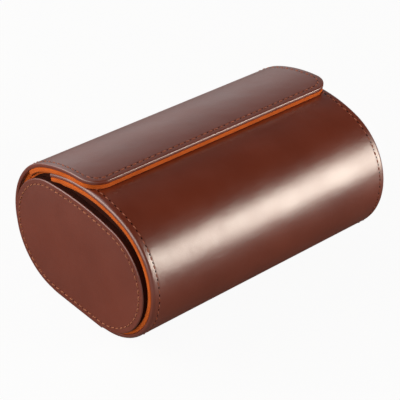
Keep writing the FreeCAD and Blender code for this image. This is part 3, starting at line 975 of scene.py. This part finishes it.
# %% Foam
def make_foam():
    material, tree, shader = new_material("foam", Roughness=0.95)
    cells = node(tree, "ShaderNodeTexVoronoi", Scale=1400.0)
    tree.links.new(object_place(tree), cells.inputs["Vector"])
    hollow_and_shade = cells.outputs["Distance"]
    colour = ramp(tree, hollow_and_shade, [(0.0, (0.60, 0.54, 0.38)), (0.6, (0.74, 0.68, 0.50))])
    feed(tree, shader, Base_Color=colour, Normal=bump(tree, hollow_and_shade, 0.0003))
    return material


FOAM = make_foam()

# %% [markdown]
# The pillow rests on its pad, so its underside is pressed flat there. One level of subdivision rounds
# it, and a copy of the finished mesh is the other pillow. The piping is rolled suede: a small circle run
# straight along each side and spun round each corner. The foam inside is the same form, shrunk a
# little, so it never shows through its cover.

# %% Finish both pillows
PIPING = 0.75 * MM
PIPING_IN = 0.8 * MM  # an even remesh rounds the pillow's edges, and the piping lies in against them
PRESSED = 0.05 * MM
FOAM_SHARE = 0.94


def run_piping(bm, x):
    """A closed tube round the pillow's section at X, from a circle extruded and spun in turns."""
    arcs = [arc._replace(radius=arc.radius - PIPING_IN / 2) for arc in pillow_arcs()]
    ring = bmesh.ops.create_circle(bm, cap_ends=False, segments=8, radius=PIPING)["verts"]
    bmesh.ops.rotate(bm, matrix=Matrix.Rotation(math.pi / 2, 3, "X"), verts=ring)
    start = Vector((x, arcs[0].y, arcs[0].z - arcs[0].radius))
    bmesh.ops.translate(bm, vec=start, verts=ring)
    edges = list({edge for vert in ring for edge in vert.link_edges})
    for arc, after in zip(arcs, arcs[1:] + arcs[:1]):
        spun = bmesh.ops.spin(bm, geom=ring + edges, cent=(x, arc.y, arc.z), axis=(1, 0, 0),
                              angle=math.radians(90), steps=6, use_merge=False)
        ring, edges = verts_of(spun["geom_last"]), edges_of(spun["geom_last"])
        turn = math.radians(arc.end)
        out = Vector((0, math.cos(turn), math.sin(turn)))
        here = Vector((0, arc.y, arc.z)) + out * arc.radius
        there = Vector((0, after.y, after.z)) + out * after.radius
        pushed = bmesh.ops.extrude_edge_only(bm, edges=edges)
        ring = verts_of(pushed["geom"])
        edges = [edge for edge in edges_of(pushed["geom"]) if all(vert in ring for vert in edge.verts)]
        bmesh.ops.translate(bm, vec=there - here, verts=ring)
    bmesh.ops.remove_doubles(bm, verts=bm.verts[:], dist=MERGE)


def finish_pillow(side_name, source, shift):
    bm = bmesh.new()
    bm.from_mesh(source)
    for vert in bm.verts:
        vert.co.z = max(vert.co.z, pillow_low.z + PRESSED)
    bmesh.ops.translate(bm, vec=(shift, 0, 0), verts=bm.verts)
    cover = finish_mesh(f"suede_pillow_{side_name}", bm, [SUEDE])
    smooth = cover.modifiers.new("smooth", "SUBSURF")
    smooth.levels = smooth.render_levels = 1
    bm = bmesh.new()
    for side in (-1, 1):
        run_piping(bm, side * (pillow_half - PIPING_IN) + shift)
    piping = finish_mesh(f"piping_pillow_{side_name}", bm, [SUEDE])
    bm = bmesh.new()
    bm.from_mesh(source)
    centre = Vector((0, 0, (pillow_low.z + pillow_high.z) / 2))
    bmesh.ops.scale(bm, vec=(FOAM_SHARE,) * 3, verts=bm.verts, space=Matrix.Translation(-centre))
    bmesh.ops.translate(bm, vec=(shift, 0, 0), verts=bm.verts)
    return cover, piping, finish_mesh(f"foam_pillow_{side_name}", bm, [FOAM])


blown = pillow.data
bpy.data.objects.remove(pillow)
pillows = {"left": finish_pillow("left", blown, pillow_middle),
           "right": finish_pillow("right", blown, -pillow_middle)}

# %% [markdown]
# What no one sees still has its own finish: grey pressed board and plated steel magnets.
# These solids have the right shape already, so they only get a material.

# %% Finishes of the hidden solids
def make_board():
    material, tree, shader = new_material("pressed board", Roughness=0.9)
    pulp = noise(tree, object_place(tree), 420, 5, 0.65)
    colour = ramp(tree, pulp, [(0.3, (0.17, 0.135, 0.10)), (0.7, (0.27, 0.22, 0.165))])
    feed(tree, shader, Base_Color=colour, Normal=bump(tree, pulp, 0.0001))
    return material


def make_plating():
    material, tree, shader = new_material("plated steel", Metallic=1.0)
    wear = noise(tree, object_place(tree), 700, 4, 0.6)
    colour = ramp(tree, wear, [(0.3, (0.46, 0.45, 0.43)), (0.7, (0.58, 0.57, 0.55))])
    feed(tree, shader, Base_Color=colour, Roughness=grey_ramp(tree, wear, [(0.3, 0.22), (0.7, 0.36)]))
    return material


HIDDEN = {"board": make_board(), "magnet": make_plating()}
for name, solid in frame["nodes"].items():
    for word, material in HIDDEN.items():
        if word in name:
            solid.data.materials.clear()
            solid.data.materials.append(material)
            print(f"{name}: {material.name}")

# %% [markdown]
# The wrap and front pieces are baked into place, the solids that they stand for are hidden, and the caps
# ride with the base.

for obj in (hide_wrap, suede_wrap, stitches_wrap, flap_strip):
    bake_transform(obj)
for obj in (hide_front, suede_front, stitches_front, *front_strips.values()):
    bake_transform(obj)
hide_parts("base_leather", "flap_leather")
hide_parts("base_lining", "flap_lining")
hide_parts("front_leather")
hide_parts("front_lining")
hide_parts("flap_hinge_strip")
for side_name, strip in front_strips.items():
    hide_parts(f"front_hinge_strip_{side_name}")
for side_name, (cap, stitches, plug) in caps.items():
    for obj in (cap, stitches, plug):
        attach(obj, "base")
    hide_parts(f"{side_name}_cap_leather")
    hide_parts(f"{side_name}_cap_lining")

# %% [markdown]
# The pieces inside ride whole, each with its body, and the solids that they stand for are hidden. The
# pillows, the pads and the divider are stuffed.

# %% Tie the inside to the frame
for side_name, (pad, stitches) in floor_pads.items():
    for obj in (pad, stitches):
        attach(obj, "base")
    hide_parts(f"{side_name}_floor_pad")
for side_name, (cover, piping, foam) in pillows.items():
    for obj in (cover, piping, foam):
        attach(obj, f"{side_name}_pillow")
    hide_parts(f"{side_name}_pillow_core")
    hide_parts(*(f"{side_name}_pillow_{part}" for part in ("cover", "end_left", "end_right")))
for obj in (divider, stitches_divider):
    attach(obj, "base")
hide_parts("divider_suede_left", "divider_suede_right")

# %% [markdown]
# The floor is white to the camera and keeps a little of the roll's own shadow. In the hide's reflections
# it glows dark close by and brighter further off: painted shade round the roll, set by the distance from
# it.
# To the camera the world is white too. To the hide it is a studio: bright at the horizon, dim overhead,
# and dimmer in front than behind.

# %% Floor and world
GLOW_SHARE = 0.94                            # how much of the floor the camera sees as plain white
FLOOR_TONE = ((0.0, 0.20), (1.0, 0.9))       # to other rays, and to the camera
# painted shade round the roll in reflections: the floor's glow to glossy rays, rising with distance
GLOSS_GLOW_PAST_PAINTED_SHADE = ((0.12, 0.0), (0.40, 0.3))  # by the distance from the roll, in metres
WORLD_BY_HEIGHT = ((0.0, 1.0), (0.12, 0.9), (0.33, 0.6), (0.62, 0.22), (0.75, 0.04))
WORLD_BY_DEPTH = ((0.0, 0.2), (0.3, 0.25), (0.6, 0.7), (0.8, 1.0))


def combine(tree, operation, *values):
    """A math node over sockets and plain numbers."""
    made = node(tree, "ShaderNodeMath", operation=operation)
    for socket, value in zip(made.inputs, values):
        if isinstance(value, float):
            socket.default_value = value
        else:
            tree.links.new(value, socket)
    return made.outputs[0]


def mix_into(tree, output, share, first, second):
    """Ends a material or a world in a mix of two shaders."""
    mix = tree.nodes.new("ShaderNodeMixShader")
    for socket, source in zip(mix.inputs, (share, first, second)):
        tree.links.new(source, socket)
    tree.links.new(mix.outputs[0], tree.nodes[output].inputs["Surface"])


def make_floor():
    bm = bmesh.new()
    bmesh.ops.create_grid(bm, x_segments=1, y_segments=1, size=3)
    floor = finish_mesh("floor", bm, [])
    material, tree, shader = new_material("white floor", Roughness=0.9)
    glow = node(tree, "ShaderNodeEmission", Color=(1, 1, 1, 1), Strength=1.0)
    rays = tree.nodes.new("ShaderNodeLightPath").outputs
    reach = node(tree, "ShaderNodeVectorMath", operation="LENGTH")
    tree.links.new(object_place(tree), reach.inputs[0])
    # glow share in reflections by distance: painted shade near the roll
    far = grey_ramp(tree, reach.outputs["Value"], GLOSS_GLOW_PAST_PAINTED_SHADE)
    mirrored = combine(tree, "MULTIPLY", rays["Is Glossy Ray"], far)
    seen = combine(tree, "MAXIMUM", rays["Is Camera Ray"], mirrored)
    clear = combine(tree, "MAXIMUM", seen, rays["Is Transmission Ray"])
    share = combine(tree, "MULTIPLY", clear, GLOW_SHARE)
    feed(tree, shader, Base_Color=grey_ramp(tree, rays["Is Camera Ray"], FLOOR_TONE))
    mix_into(tree, "Material Output", share, shader.outputs[0], glow.outputs[0])
    floor.data.materials.append(material)


def make_world():
    world = bpy.data.worlds.new("studio")
    bpy.context.scene.world = world
    world.use_nodes = True
    tree = world.node_tree
    sky = tree.nodes["Background"]
    parts = tree.nodes.new("ShaderNodeSeparateXYZ")
    place = tree.nodes.new("ShaderNodeTexCoord")
    tree.links.new(place.outputs["Generated"], parts.inputs[0])
    both = node(tree, "ShaderNodeMix", data_type="RGBA", blend_type="MULTIPLY")
    both.inputs[0].default_value = 1.0
    tree.links.new(grey_ramp(tree, parts.outputs["Z"], WORLD_BY_HEIGHT), both.inputs[6])
    tree.links.new(grey_ramp(tree, parts.outputs["Y"], WORLD_BY_DEPTH), both.inputs[7])
    tree.links.new(both.outputs[2], sky.inputs["Color"])
    white = node(tree, "ShaderNodeBackground", Color=(1, 1, 1, 1), Strength=1.0)
    rays = tree.nodes.new("ShaderNodeLightPath").outputs
    mix_into(tree, "World Output", rays["Is Camera Ray"], sky.outputs[0], white.outputs[0])


make_floor()
make_world()

# %% [markdown]
# A low softbox in front draws the long highlight down the front wall, and two weaker ones fill in the
# left end and the back. The camera's place was worked out from the outlines in the photograph.

# %% Softboxes and camera
AIM = Vector((0, -10 * MM, 35 * MM))


def direction(azimuth, elevation):
    """A direction from the roll, with the azimuth from the front towards +X, in degrees."""
    turn, rise = math.radians(azimuth), math.radians(elevation)
    return Vector((math.sin(turn) * math.cos(rise), -math.cos(turn) * math.cos(rise), math.sin(rise)))


def softbox(name, azimuth, elevation, distance, width, height, power, colour=(1, 1, 1)):
    lamp = bpy.data.lights.new(name, "AREA")
    lamp.shape = "RECTANGLE"
    lamp.size, lamp.size_y, lamp.energy, lamp.color = width, height, power, colour
    obj = add_object(name, lamp)
    way = direction(azimuth, elevation)
    obj.location = AIM + way * distance
    obj.rotation_euler = way.to_track_quat("Z", "Y").to_euler()


softbox("front softbox", azimuth=41, elevation=14.5, distance=1.1, width=0.50, height=0.56, power=7.9,
        colour=(1.0, 0.91, 0.79))
softbox("left fill", azimuth=-105, elevation=23, distance=1.2, width=2.4, height=0.9, power=15,
        colour=(1.0, 0.93, 0.86))
softbox("back fill", azimuth=-160, elevation=42, distance=1.3, width=1.4, height=0.9, power=4)


def make_camera():
    """The camera as it was solved from the outlines of both ends, the flap and the front wall."""
    aim, tilt, roll, distance = 0.796, 0.600, math.radians(4), 0.7445
    shift_x, shift_y, pixels, sensor, width = -0.474 * MM, -26.03 * MM, 1509.1, 36.0, 400
    level = Vector((math.cos(aim), math.sin(aim), 0))
    look = level * math.cos(tilt) - Vector((0, 0, math.sin(tilt)))
    right = Vector((math.sin(aim), -math.cos(aim), 0))
    up = right.cross(look)
    right, up = (right * math.cos(roll) + up * math.sin(roll),
                 up * math.cos(roll) - right * math.sin(roll))
    camera = bpy.data.cameras.new("camera")
    camera.sensor_width = sensor
    camera.lens = pixels * sensor / width
    obj = add_object("camera", camera)
    axes = Matrix((right, up, -look)).transposed()
    place = -look * distance - right * shift_x - up * shift_y
    obj.matrix_world = Matrix.Translation(place) @ axes.to_4x4()
    bpy.context.scene.camera = obj
    print(f"camera at {tuple(round(value, 3) for value in place)}, lens {camera.lens:.1f} mm")


make_camera()
bpy.context.scene.view_settings.view_transform = "Standard"
